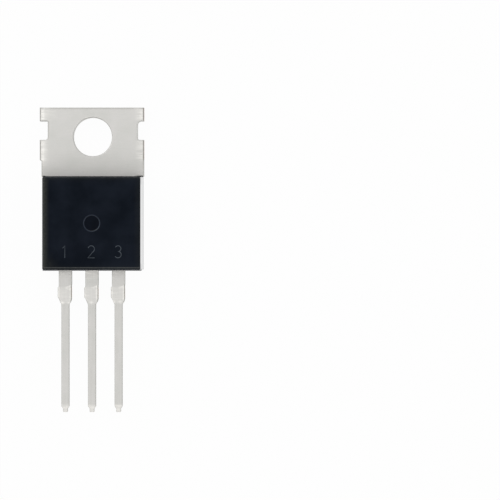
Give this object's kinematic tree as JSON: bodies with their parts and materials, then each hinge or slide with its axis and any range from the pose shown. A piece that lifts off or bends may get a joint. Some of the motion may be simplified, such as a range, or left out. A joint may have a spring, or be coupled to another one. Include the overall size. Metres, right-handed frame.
{
  "type": "power mosfet",
  "caption": "Moulded power transistor on a notched metal mounting tab with a round screw hole, with a row of straight flat through-hole leads.",
  "frame": {"origin": "on the axis of the mounting hole, in the back plane that rests on a heat sink", "axes": "+Z out of the front face, +Y towards the tab's free edge, leads towards -Y, gate lead at -X and source lead at +X"},
  "size_m": [0.01, 0.0291, 0.0044],
  "materials": {
    "tinned_copper": "satin",
    "mould_compound": "satin",
    "solder": "satin",
    "silicon": "polished",
    "bond_wire": "satin"
  },
  "bodies": {
    "root": {"drain_frame": "tinned_copper", "gate_lead": "tinned_copper", "source_lead": "tinned_copper", "die_solder": "solder", "silicon_die": "silicon", "gate_bond_wire": "bond_wire", "source_bond_wire_1": "bond_wire", "source_bond_wire_2": "bond_wire", "moulded_body": "mould_compound"}
  },
  "joints": []
}
